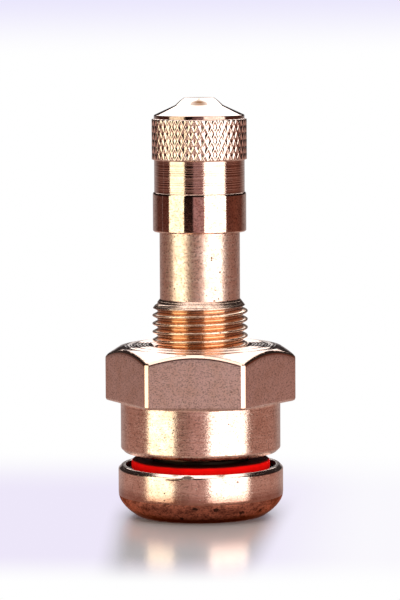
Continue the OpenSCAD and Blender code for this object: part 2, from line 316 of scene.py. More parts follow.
@dataclass(frozen=True)
class Finish:
    """What a surface is made of and how it looks."""

    name: str

    def shader(self, g: Graph) -> Socket:
        """Fills a material's node tree and gives its shader."""
        raise NotImplementedError

    def material(self) -> bpy.types.Material:
        """The finish's material, made when it is first asked for."""
        return bpy.data.materials.get(self.name) or paint(self.name, self.shader)


# What all brass finishes share: noise by layers and their strength, spans of noise, and shares of a colour.
CLOUD_NOISE = (4.0, 0.6)
GRAIN_NOISE = (3.0, 0.65)
FLECK_NOISE = (2.0, 0.7)
STAIN_SPAN = (0.35, 0.75)
GRAIN_ROUGH = 0.08
FLECK_FLAT = 1.4
FLECK_STEP = 0.2
FLECK_SPAN = (0.45, 0.75)
LINE_SPAN = (0.62, 0.3)
LINE_ROUGH = 0.12
LINE_SHARE = 0.22
GROOVE_SHARE = 0.42
PATCH_RATE = 0.9
PATCH_SPAN = (0.35, 0.6)
PIT_DEPTH = 0.012
PIT_ROUGH = 0.25
PIT_SHARE = 0.85
MARK_FRAY = 1.6
MARK_SPAN = (1.05, 0.75)
UNDER_SHARE = 0.9
UNDER_SWINGS = (1.6, 0.5)
WITHIN_SHARE = 0.8
WITHIN_SWING = 0.2
ROUGH_LIMITS = (0.05, 0.9)


@dataclass(frozen=True)
class Brass(Finish):
    """A finish of the rose-coloured brass. Sizes are in millimetres."""

    colour: Colour
    roughness: float
    stain: Colour
    stain_share: float = 0.35
    grain: Grain = Grain()
    lathe: Optional[Lathe] = None
    pits: Optional[Pits] = None
    flecks: Optional[Flecks] = None
    pit_colour: Colour = (0.16, 0.08, 0.05)
    edge: Colour = WHITE
    cloud_rate: float = 0.45
    # dark_under and dark_within darken the colour towards the bottom and towards the axis: painted shade, and
    # on the foot partly tarnish.
    dark_under: Optional[Span] = None
    dark_colour: Colour = (0.30, 0.10, 0.045)
    dark_within: Optional[Span] = None
    marks: tuple[Mark, ...] = ()

    def worn(self, g: Graph, place: Socket, grain: Sock) -> Optional[Sock]:
        """Finds where the surface is pitted or dented.

        Args:
            g: the node tree.
            place: the place on the piece.
            grain: noise that frays the dents' edges.

        Returns:
            1 in a pit or dent and 0 elsewhere, or nothing for a finish without any.
        """
        found: list[Sock] = []
        if self.pits is not None:
            fine = g.spots(place, self.pits.rate, self.pits.share, self.pits.size)
            found.append(fine * g.noise(place, PATCH_RATE).ramp(*PATCH_SPAN))
        spot = g.split(place)
        for mark in self.marks:
            gaps = [(p - c) / r for p, c, r in zip(spot, mark.place, mark.reach)]
            found.append((norm(*gaps) + grain.swing(MARK_FRAY)).ramp(*MARK_SPAN))
        return reduce(Sock.most, found) if found else None

    def shader(self, g: Graph) -> Socket:
        """Fills a material's node tree.

        Args:
            g: the node tree.

        Returns:
            The shader.
        """
        place = g.millimetres()
        x, y, z = g.split(place)
        cloud = g.noise(place, self.cloud_rate, *CLOUD_NOISE)
        grain = g.noise(g.joined(x, y, z * self.grain.flat), 1.0 / self.grain.size, *GRAIN_NOISE)
        height = grain * self.grain.depth
        colour: Value = g.blend(cloud.ramp(*STAIN_SPAN) * self.stain_share, self.colour, self.stain)
        rough = cloud.swing(0.5 * self.roughness) + self.roughness + grain.swing(GRAIN_ROUGH)
        if self.flecks is not None:
            fleck = g.noise(g.joined(x, y, z * FLECK_FLAT), self.flecks.rate, *FLECK_NOISE)
            height = height - fleck.ramp(*FLECK_SPAN) * self.flecks.depth
            shown = fleck.ramp(self.flecks.over, self.flecks.over + FLECK_STEP)
            colour = g.blend(shown * self.flecks.share, colour, self.pit_colour)
        if self.lathe is not None:
            along = z if self.lathe.way is Turned.AROUND else norm(x, y)
            lines, share = g.lines(along, self.lathe.rate), LINE_SHARE
            if self.lathe.pitch > 0.0:
                wave = abs((along / self.lathe.pitch + lines * 2.0).part() * 2.0 - 1.0)
                lines, share = lines * 0.5 + wave.ramp(0.0, 1.0) * 0.5, GROOVE_SHARE
            height = height + lines * self.lathe.depth
            rough = rough + lines.swing(LINE_ROUGH)
            colour = g.blend(lines.ramp(*LINE_SPAN) * share, colour, self.stain)
        # Darker towards the bottom, with ragged edges: painted shade under overhangs and near the floor.
        if self.dark_under is not None:
            low, high = self.dark_under
            wide, fine = UNDER_SWINGS
            rise = z + cloud.swing(wide) + grain.swing(fine)
            colour = g.blend(rise.ramp(high, low) * UNDER_SHARE, colour, self.dark_colour)
        # Darker towards the axis, in a thread's roots: painted shade in the grooves.
        if self.dark_within is not None:
            deep, shallow = self.dark_within
            reach = norm(x, y) + cloud.swing(WITHIN_SWING)
            colour = g.blend(reach.ramp(shallow, deep) * WITHIN_SHARE, colour, self.stain)
        worn = self.worn(g, place, grain)
        if worn is not None:
            height = height - worn * PIT_DEPTH
            rough = rough + worn * PIT_ROUGH
            colour = g.blend(worn * PIT_SHARE, colour, self.pit_colour)
        smoothest, roughest = ROUGH_LIMITS
        return g.relief(height, {
            "Base Color": colour,
            "Metallic": 1.0,
            "Roughness": rough.most(smoothest).least(roughest),
            "Specular Tint": (*self.edge, 1.0),
        })


# Near black: painted shade on the red ring's top, under the nut.
SHADE_BLACK: Colour = (0.015, 0.008, 0.006)
DULL = 0.72


@dataclass(frozen=True)
class Rubber(Finish):
    """A moulded rubber finish. Sizes are in millimetres."""

    colour: Colour
    dust: Colour
    roughness: float
    speck_share: float = 0.1
    painted_shade_over: Optional[Span] = None

    def shader(self, g: Graph) -> Socket:
        """Fills a material's node tree.

        Args:
            g: the node tree.

        Returns:
            The shader.
        """
        place = g.millimetres()
        cloud = g.noise(place, 0.6, 3.0)
        specks = g.spots(place, 2.4, self.speck_share, 0.14)
        dull = tuple(DULL * c for c in self.colour)
        colour = g.blend(cloud.ramp(0.4, 0.7) * 0.5, self.colour, dull)
        colour = g.blend(specks * 0.7, colour, self.dust)
        # Darker from a height up: painted shade on the ring's top, under the nut.
        if self.painted_shade_over is not None:
            rise = g.split(place)[2] + cloud.swing(0.1)
            colour = g.blend(rise.ramp(*self.painted_shade_over) * 0.95, colour, SHADE_BLACK)
        return g.relief(g.noise(place, 14.0) * 0.004 + specks * 0.01, {
            "Base Color": colour,
            "Roughness": cloud.swing(0.2) + self.roughness + specks * 0.2,
            "Specular IOR Level": 0.02,
        })


ROSE: Colour = (0.86, 0.60, 0.47)
ROSE_DEEP: Colour = (0.72, 0.42, 0.31)
SOOT: Colour = (0.10, 0.04, 0.025)

FOOT_MARKS = (
    Mark((-2.31, -8.10, 4.60), (0.85, 0.6, 0.08)),
    Mark((-0.80, -8.25, 4.86), (0.65, 0.6, 0.16)),
    Mark((-2.95, -7.86, 2.05), (0.34, 0.5, 0.14)),
)
BEVEL_MARKS = (
    Mark((-0.05, -8.10, 1.72), (0.34, 0.6, 0.20)),
    Mark((2.00, -7.85, 1.62), (0.28, 0.6, 0.22)),
    Mark((4.50, -6.25, 1.15), (0.34, 0.6, 0.24)),
    Mark((-1.45, -7.00, 0.65), (0.34, 0.6, 0.18)),
)
# dark_under darkens the foot's side towards its lower edge: partly tarnish, partly painted shade where it
# faces the shadowed floor.
FOOT = Brass(
    "foot_brass", (0.99, 0.77, 0.65), 0.18, (0.62, 0.32, 0.23), 0.55, Grain(0.30, 0.008, 3.2),
    Lathe(Turned.AROUND, 5.0, 0.0004), Pits(2.2, 0.25, 0.20), Flecks(0.42, over=0.48, depth=0.0), SOOT,
    cloud_rate=0.7, dark_under=(1.9, 3.6), dark_colour=(0.30, 0.10, 0.055), marks=FOOT_MARKS,
)
# The foot's rounded lower edge: dark tarnish and stains, and painted shade where it faces the shadowed floor,
# near black at the bottom as a painted contact shadow.
BEVEL = Brass(
    "tarnish_and_painted_shade_brass", (0.70, 0.265, 0.17), 0.38, (0.15, 0.040, 0.023), 0.9, Grain(0.26, 0.020),
    pits=Pits(1.3, 0.25, 0.30), flecks=Flecks(0.6), pit_colour=(0.010, 0.004, 0.003), edge=(0.72, 0.42, 0.34),
    cloud_rate=0.9, dark_under=(0.35, 0.9), dark_colour=(0.012, 0.004, 0.003), marks=BEVEL_MARKS,
)
RIM = Brass(
    "rim_brass", (0.92, 0.72, 0.62), 0.12, (0.62, 0.38, 0.30), 0.3, Grain(0.2, 0.004),
    pit_colour=(0.03, 0.015, 0.01), marks=FOOT_MARKS,
)
# Near-black brass in the foot's recess and on the shank under the ring: painted shade in the gap under the
# nut.
RECESS_SHADE = Brass("recess_shade_brass", (0.035, 0.020, 0.014), 0.55, (0.015, 0.009, 0.007), 0.6, Grain(0.2, 0.01))
# dark_under: painted shade on the thread in the gap under the nut. dark_within: painted shade in the thread's
# roots.
SHANK_THREAD = Brass(
    "shank_thread_brass", (0.93, 0.70, 0.54), 0.20, (0.64, 0.32, 0.16), 0.6, Grain(0.22, 0.006),
    pits=Pits(2.6, 0.3, 0.24), flecks=Flecks(0.4), pit_colour=(0.14, 0.05, 0.025), cloud_rate=0.8,
    dark_under=(6.8, 8.0), dark_colour=(0.05, 0.018, 0.010), dark_within=(4.42, 4.64),
)
NECK = Brass(
    "neck_brass", (0.99, 0.77, 0.65), 0.31, (0.70, 0.38, 0.27), 0.6, Grain(0.28, 0.015, 1.5),
    Lathe(Turned.AROUND, 3.0, 0.001), Pits(2.4, 0.5, 0.28), Flecks(0.62, 4.0, 0.48, 0.0), cloud_rate=1.1,
)
CONE = Brass(
    "cone_brass", (0.95, 0.70, 0.56), 0.20, (0.34, 0.14, 0.08), 0.5, Grain(0.30, 0.006, 1.6),
    Lathe(Turned.AROUND, 3.0, 0.014, pitch=0.28), flecks=Flecks(0.3, depth=0.0), cloud_rate=1.4,
)
MOUTH_THREAD = Brass("mouth_thread_brass", (0.88, 0.60, 0.36), 0.2, (0.7, 0.4, 0.22), 0.3)
BORE = Brass(
    "bore_brass", (0.80, 0.56, 0.38), 0.3, (0.5, 0.3, 0.2), 0.4, lathe=Lathe(Turned.AROUND, 4.0, 0.001),
)
HEX_FLAT = Brass(
    "hexagon_brass", (0.94, 0.73, 0.66), 0.32, (0.72, 0.44, 0.32), 0.5, Grain(0.16, 0.010),
    pits=Pits(2.6, 0.35, 0.22), flecks=Flecks(0.58, 5.8, 0.46), pit_colour=(0.16, 0.07, 0.045),
    cloud_rate=0.7,
)
HEX_CORNER = Brass("corner_brass", ROSE, 0.14, ROSE_DEEP, 0.2, Grain(0.2, 0.003))
HEX_TOP = Brass(
    "top_face_brass", (0.90, 0.70, 0.60), 0.08, ROSE_DEEP, 0.2, Grain(0.2, 0.002),
    Lathe(Turned.FACED, 4.0, 0.03),
)
# dark_under darkens the collar's lower edge: painted shade on its underside.
COLLAR = Brass(
    "collar_brass", (0.98, 0.76, 0.64), 0.17, (0.60, 0.32, 0.22), 0.5, Grain(0.30, 0.010, 3.0),
    Lathe(Turned.AROUND, 4.0, 0.0006), Pits(2.2, 0.25, 0.20), Flecks(0.6, 4.2, 0.48, 0.0), SOOT,
    cloud_rate=0.7, dark_under=(6.2, 7.2), dark_colour=(0.26, 0.10, 0.065),
)
BAND = Brass(
    "band_brass", (0.90, 0.65, 0.53), 0.07, (0.58, 0.26, 0.18), 0.55, Grain(0.24, 0.0020, 1.4),
    flecks=Flecks(0.6, over=0.46, depth=0.0), cloud_rate=1.4,
)
SLEEVE = Brass(
    "sleeve_brass", (0.90, 0.66, 0.55), 0.08, (0.36, 0.17, 0.12), 0.3, Grain(0.16, 0.0016, 1.2),
    Lathe(Turned.AROUND, 3.4, 0.008, pitch=0.24), flecks=Flecks(0.25), cloud_rate=1.2,
)
KNURL = Brass(
    "knurl_brass", (0.93, 0.73, 0.63), 0.15, (0.58, 0.31, 0.23), 0.5, Grain(0.2, 0.004), flecks=Flecks(0.35),
)
# A darker copy of the cap's brass for the rim under the crown: painted shade.
CAP_RIM = Brass(
    "cap_rim_brass", (0.50, 0.35, 0.29), 0.08, (0.30, 0.16, 0.12), 0.5, Grain(0.2, 0.003), flecks=Flecks(0.4),
)
CROWN = Brass(
    "crown_brass", (0.92, 0.72, 0.62), 0.05, ROSE, 0.2, Grain(0.3, 0.0006), Lathe(Turned.FACED, 6.0, 0.0004),
)
CORE = Brass(
    "turned_core_brass", (0.83, 0.64, 0.36), 0.22, (0.6, 0.42, 0.2), 0.3,
    lathe=Lathe(Turned.AROUND, 6.0, 0.001),
)
WIRE = Brass(
    "drawn_steel_wire", (0.62, 0.62, 0.64), 0.28, (0.45, 0.45, 0.47), 0.4,
    lathe=Lathe(Turned.AROUND, 5.0, 0.0006),
)
RED = Rubber("moulded_red_rubber", (1.0, 0.0036, 0.0027), (0.85, 0.30, 0.26), 0.6, 0.05)
# The sealing ring, with painted shade on its top where the nut overhangs it.
RING_RED = Rubber("red_rubber_with_painted_shade", RED.colour, RED.dust, 0.6, 0.05, (5.52, 5.68))
BLACK = Rubber("moulded_black_rubber", (0.035, 0.035, 0.037), (0.12, 0.12, 0.12), 0.55)

Row = tuple[Sequence[float], Place, Optional[Finish]]
ARC_STEP = 12.0
LEG_SHARE = 0.45
GUARD_SHARE = 0.04


@dataclass(frozen=True)
class Corner:
    """A corner of a half section: radius, height and rounding in millimetres, and the finish after it."""

    r: float
    z: float
    finish: Optional[Finish]
    rounding: float = 0.0


def section(corners: Sequence[Corner]) -> list[tuple[float, float, Optional[Finish]]]:
    """Rounds the corners of a closed half section.

    Args:
        corners: the corners in order. The last one runs on to the first.

    Returns:
        Points of radius, height and the finish of the run that leaves each.
    """
    points: list[tuple[float, float, Optional[Finish]]] = []
    for i, corner in enumerate(corners):
        if corner.rounding <= 0.0:
            points.append((corner.r, corner.z, corner.finish))
            continue
        here, before, after = Vector((corner.r, corner.z)), corners[i - 1], corners[(i + 1) % len(corners)]
        back, on = Vector((before.r, before.z)) - here, Vector((after.r, after.z)) - here
        half, shortest = back.angle(on) / 2, min(back.length, on.length)
        back.normalize()
        on.normalize()
        reach = min(corner.rounding / math.tan(half), LEG_SHARE * shortest)
        radius = reach * math.tan(half)
        start, end = here + back * reach, here + on * reach
        middle = here + (back + on).normalized() * (radius / math.sin(half))
        swing = (start - middle).angle_signed(end - middle)
        steps = max(3, math.ceil(math.degrees(math.pi - 2 * half) / ARC_STEP))
        guard = min(0.5 * radius, GUARD_SHARE * shortest)
        arriving = corner.finish if before.finish is None else before.finish
        points.append((*(start + back * guard), before.finish))
        for k in range(steps + 1):
            spot = middle + Matrix.Rotation(-swing * k / steps, 2) @ (start - middle)
            points.append((*spot, corner.finish if k > steps // 2 else arriving))
        points.append((*(end + on * guard), corner.finish))
    return points


def evenly(columns: int) -> list[float]:
    """Angles that are evenly spaced around the axis, in radians."""
    return [2 * math.pi * j / columns for j in range(columns)]


def level(r: float, z: float) -> Place:
    """The place of a ring with the same radius and height all around."""
    return lambda _: (r, z)


def linked(name: str, data: bpy.types.ID) -> bpy.types.Object:
    """Adds an object to the scene.

    Args:
        name: its name.
        data: its mesh, lamp or camera.

    Returns:
        The object.
    """
    made = bpy.data.objects.new(name, data)
    bpy.context.scene.collection.objects.link(made)
    return made


def meshed(name: str, bm: bmesh.types.BMesh, skins: Sequence[bpy.types.Material]) -> bpy.types.Object:
    """Adds an object made of faces to the scene.

    Args:
        name: its name.
        bm: its faces, which are freed.
        skins: its materials in order.

    Returns:
        The object.
    """
    mesh = bpy.data.meshes.new(name)
    bm.to_mesh(mesh)
    bm.free()
    for skin in skins:
        mesh.materials.append(skin)
    return linked(name, mesh)


class Solid:
    """Collects the surfaces of one piece and welds them into one closed mesh."""

    def __init__(self, name: str) -> None:
        """Starts an empty piece.

        Args:
            name: the piece's name.
        """
        self.name = name
        self.bm = bmesh.new()
        self.finishes: list[Finish] = []
        self.soft: set[int] = set()

    def slot(self, finish: Finish) -> int:
        """Finds a finish on this piece, or adds it where it is new.

        Args:
            finish: the finish.

        Returns:
            Its number.
        """
        if finish not in self.finishes:
            self.finishes.append(finish)
        return self.finishes.index(finish)

    def ring(self, angles: Sequence[float], at: Place) -> list[bmesh.types.BMVert]:
        """A ring of points around the axis.

        Args:
            angles: the points' angles in radians.
            at: gives radius and height in millimetres for an angle.

        Returns:
            The points, one alone where the radius is nothing.
        """
        made = []
        for angle in angles:
            r, z = at(angle)
            made.append(self.bm.verts.new((r * MM * math.cos(angle), r * MM * math.sin(angle), z * MM)))
            if r < WELD:
                break
        return made

    def bridge(
        self, one: Sequence[bmesh.types.BMVert], two: Sequence[bmesh.types.BMVert], finish: Finish
    ) -> None:
        """Makes faces between two rings, of which one may have a whole share of the other's points.

        Args:
            one: the first ring.
            two: the second ring.
            finish: the finish of the faces.
        """
        index = self.slot(finish)
        count = max(len(one), len(two))
        for j in range(count):
            here, there = j, (j + 1) % count
            a, b = (one[k * len(one) // count] for k in (here, there))
            d, c = (two[k * len(two) // count] for k in (here, there))
            corners = list(dict.fromkeys((a, b, c, d)))
            if len(corners) > 2:
                self.bm.faces.new(corners).material_index = index

    def loft(self, rows: Sequence[Row]) -> None:
        """Lays rings and joins each to the next, and the last to the first.

        Args:
            rows: each ring's angles and place, and the finish that follows it, or nothing for a gap.
        """
        rings = [self.ring(angles, at) for angles, at, _ in rows]
        for i, (_, _, finish) in enumerate(rows):
            if finish is not None:
                self.bridge(rings[i], rings[(i + 1) % len(rings)], finish)

    def turn(self, corners: Sequence[Corner], columns: int) -> None:
        """Turns a closed half section around the axis, with a number of points around."""
        self.loft([(evenly(columns), level(r, z), finish) for r, z, finish in section(corners)])

    def add(self, mesh: bpy.types.Mesh, finish: Finish) -> None:
        """Adds a mesh that a geometry rule made, shaded smooth.

        Args:
            mesh: the mesh, which is removed afterwards.
            finish: its finish.
        """
        index = self.slot(finish)
        self.soft.add(index)
        before = len(self.bm.faces)
        self.bm.from_mesh(mesh)
        self.bm.faces.ensure_lookup_table()
        for face in self.bm.faces[before:]:
            face.material_index = index
        bpy.data.meshes.remove(mesh)

    def refinish(self, old: Finish, new: Finish, where: Callable[[Vector], bool]) -> None:
        """Gives some faces another finish.

        Args:
            old: the finish that they have.
            new: the finish that they get.
            where: tells by a face's middle whether it changes.
        """
        before, after = self.slot(old), self.slot(new)
        for face in self.bm.faces:
            if face.material_index == before and where(face.calc_center_median()):
                face.material_index = after

    def piece(self, sharp: float = 26.0) -> bpy.types.Object:
        """Welds the surfaces.

        Args:
            sharp: the angle in degrees from which an edge is shaded sharp.

        Returns:
            The finished piece, at the origin.
        """
        bm, limit = self.bm, math.radians(sharp)
        bmesh.ops.remove_doubles(bm, verts=bm.verts, dist=WELD)
        bmesh.ops.dissolve_degenerate(bm, edges=bm.edges, dist=0.05 * WELD)
        bmesh.ops.recalc_face_normals(bm, faces=bm.faces)
        for face in bm.faces:
            face.smooth = True
        for edge in bm.edges:
            if len(edge.link_faces) == 2:
                both_soft = all(face.material_index in self.soft for face in edge.link_faces)
                edge.smooth = both_soft or edge.calc_face_angle(0.0) < limit
        open_edges = sum(len(edge.link_faces) != 2 for edge in bm.edges)
        piece = meshed(self.name, bm, [finish.material() for finish in self.finishes])
        tris = sum(len(p.vertices) - 2 for p in piece.data.polygons)
        LOG.info("%s: %d triangles, %d open edges", self.name, tris, open_edges)
        return piece


class Rule(Graph):
    """A geometry rule: a node tree with named sizes that makes one surface."""

    def __init__(self, name: str, sizes: Sequence[str], counts: Sequence[str]) -> None:
        """Starts a rule with its named inputs.

        Args:
            name: the rule's name.
            sizes: the names of its sizes in metres or plain numbers.
            counts: the names of its whole numbers.
        """
        super().__init__(bpy.data.node_groups.new(name, "GeometryNodeTree"))
        face = self.tree.interface
        kinds = {**dict.fromkeys(sizes, "NodeSocketFloat"), **dict.fromkeys(counts, "NodeSocketInt")}
        kinds["Finish"] = "NodeSocketMaterial"
        self.keys = {
            n: face.new_socket(name=n, in_out="INPUT", socket_type=k).identifier for n, k in kinds.items()
        }
        face.new_socket(name="Surface", in_out="OUTPUT", socket_type="NodeSocketGeometry")
        self.given = self.node("NodeGroupInput")

    def size(self, name: str) -> Sock:
        """One of the rule's inputs."""
        return Sock(self, self.given.outputs[name])

    def sheet(self) -> tuple[Socket, Sock, Sock]:
        """A flat sheet of points that the rule bends.

        Returns:
            The sheet, the share of the way around and the share of the way up.
        """
        columns, rows = self.size("Columns") + 1.0, self.size("Rows") + 1.0
        grid = self.out(
            "GeometryNodeMeshGrid", {"Size X": 1.0, "Size Y": 1.0, "Vertices X": columns, "Vertices Y": rows}
        )
        x, y, _ = self.split(self.node("GeometryNodeInputPosition").outputs[0])
        return grid, x + 0.5, y + 0.5

    def bend(self, sheet: Socket, around: Sock, r: Sock, z: Sock) -> None:
        """Bends the sheet around the axis, welds it and gives it out.

        Args:
            sheet: the flat sheet.
            around: the share of the way around.
            r: the radius of each point.
            z: the height of each point.
        """
        angle = around * (2 * math.pi)
        place = self.joined(r * self.math("COSINE", angle), r * self.math("SINE", angle), z)
        bent = self.out("GeometryNodeSetPosition", {"Geometry": sheet, "Position": place})
        self.give(self.out("GeometryNodeMergeByDistance", {"Geometry": bent, "Distance": 0.5 * WELD}))

    def give(self, surface: Socket) -> None:
        """Ends the rule: smooth shading, real geometry and the finish.

        Args:
            surface: what the rule has made.
        """
        smooth = self.out("GeometryNodeSetShadeSmooth", {"Geometry": surface})
        real = self.out("GeometryNodeRealizeInstances", {"Geometry": smooth})
        inputs = {"Geometry": real, "Material": self.given.outputs["Finish"]}
        self.node("NodeGroupOutput", {0: self.out("GeometryNodeSetMaterial", inputs)})

    def make(self, finish: Finish, **values: Union[float, int]) -> bpy.types.Mesh:
        """Runs the rule.

        Args:
            finish: the finish of the surface.
            values: the rule's sizes, with underscores for blanks.

        Returns:
            The surface as a plain mesh.
        """
        empty = bpy.data.meshes.new("rule_holder")
        holder = linked("rule_holder", empty)
        modifier = holder.modifiers.new("rule", "NODES")
        modifier.node_group = self.tree
        for name, value in values.items():
            modifier[self.keys[name.replace("_", " ")]] = value
        modifier[self.keys["Finish"]] = finish.material()
        seen = holder.evaluated_get(bpy.context.evaluated_depsgraph_get())
        mesh = bpy.data.meshes.new_from_object(seen)
        bpy.data.objects.remove(holder)
        bpy.data.meshes.remove(empty)
        return mesh


FLANK_SPAN = (0.06, 0.94)
THREAD_ROWS = 16


def thread_rule() -> Rule:
    """The rule of a screw thread: rows of points that climb around the axis with the thread.

    Returns:
        The rule, whose depth is under 0 for a thread in a bore.
    """
    ends = ["Start", "End", "Fade Start", "Fade End"]
    rule = Rule(
        "screw_thread",
        ["Crest", "Depth", "Pitch", *ends, "Cone From", "Cone Slope", "Turns", "Phase"],
        ["Columns", "Rows"],
    )
    sheet, around, up = rule.sheet()
    crest, depth, pitch = map(rule.size, ("Crest", "Depth", "Pitch"))
    start, end, fade_in, fade_out = map(rule.size, ends)
    turns = up * rule.size("Turns")
    z = (start + pitch * (turns + around + rule.size("Phase") - 1.0)).most(start).least(end)
    groove = (1.0 - abs(turns.part() * 2.0 - 1.0)).ramp(*FLANK_SPAN)
    fade = ((z - start) / fade_in).least(1.0) * ((end - z) / fade_out).least(1.0)
    cone = crest - rule.size("Cone Slope") * (z - rule.size("Cone From")).most(0.0)
    rule.bend(sheet, around, (crest - depth * groove * fade).least(cone), z)
    return rule


def knurl_rule() -> Rule:
    """The rule of a diamond knurl: two families of rounded ridges that cross around sunk diamonds.

    Returns:
        The rule.
    """
    names = ["Tip", "Valley", "Base", "Bottom", "Top", "Around", "Up", "Ridge", "End Slope"]
    rule = Rule("diamond_knurl", names, ["Columns", "Rows"])
    sheet, around, up = rule.sheet()
    tip, valley, base, bottom, top, diamonds, rows, ridge, slope = map(rule.size, names)
    z = bottom + (top - bottom) * up
    across, along = around * diamonds, up * rows
    one = 0.5 - abs((across + along).part() - 0.5)
    two = 0.5 - abs((across - along + 100.0).part() - 0.5)
    full = valley + (tip - valley) * one.least(two).ramp(ridge, 0.0)
    rule.bend(sheet, around, full.least(base + slope * (z - bottom).least(top - z)), z)
    return rule


def coil_rule() -> Rule:
    """The rule of a coil spring: round wire swept along a helix.

    Returns:
        The rule.
    """
    names, counts = ["Radius", "Height", "Wire", "Base", "Turns"], ["Steps", "Sides"]
    rule = Rule("coil_spring", names, counts)
    radius, height, wire, base, turns = map(rule.size, names)
    steps, sides = map(rule.size, counts)
    radii = {"Start Radius": radius, "End Radius": radius}
    inputs = {"Resolution": steps, "Rotations": turns, "Height": height, **radii}
    helix = rule.out("GeometryNodeCurveSpiral", inputs)
    hoop = rule.out("GeometryNodeCurvePrimitiveCircle", {"Resolution": sides, "Radius": wire}, mode="RADIUS")
    swept = rule.out("GeometryNodeCurveToMesh", {"Curve": helix, "Profile Curve": hoop, "Fill Caps": True})
    lift = rule.joined(0.0, 0.0, base)
    rule.give(rule.out("GeometryNodeTransform", {"Geometry": swept, "Translation": lift}))
    return rule


@dataclass
class Rules:
    """The geometry rules that several pieces use."""

    thread: Rule = field(default_factory=thread_rule)
    knurl: Rule = field(default_factory=knurl_rule)
    coil: Rule = field(default_factory=coil_rule)

    def screw(
        self,
        solid: Solid,
        finish: Finish,
        columns: int,
        crest: float,
        depth: float,
        pitch: float,
        run: Span,
        fades: Span,
        cone: Span = (1000.0, 0.0),
        phase: float = 0.0,
    ) -> None:
        """Adds a screw thread to a piece. Sizes are in millimetres.

        Args:
            solid: the piece.
            finish: the thread's finish.
            columns: points around.
            crest: radius of the plain surface that the thread is cut into.
            depth: depth of the groove, under 0 in a bore.
            pitch: rise in one turn.
            run: where the threaded run starts and ends.
            fades: lengths in which the groove fades in and out.
            cone: the height from which a cone takes the thread away, and the cone's slope.
            phase: how far the thread is shifted up, in pitches, from -1 to 0.
        """
        turns = math.ceil((run[1] - run[0]) / pitch) + 1
        mesh = self.thread.make(
            finish, Crest=crest * MM, Depth=depth * MM, Pitch=pitch * MM, Start=run[0] * MM, End=run[1] * MM,
            Fade_Start=fades[0] * MM, Fade_End=fades[1] * MM, Cone_From=cone[0] * MM, Cone_Slope=cone[1],
            Turns=float(turns), Phase=phase, Columns=columns, Rows=THREAD_ROWS * turns,
        )
        solid.add(mesh, finish)


def settle(piece: bpy.types.Object, body: str, slot: str, *nodes: str) -> bpy.types.Object:
    """Puts a piece on its body in the place of CAD nodes.

    Args:
        piece: the piece.
        body: the body that it moves with.
        slot: the record's material slot, which is not used.
        nodes: the CAD nodes that it stands for.

    Returns:
        The piece.
    """
    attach(piece, body)
    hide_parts(*nodes)
    return piece


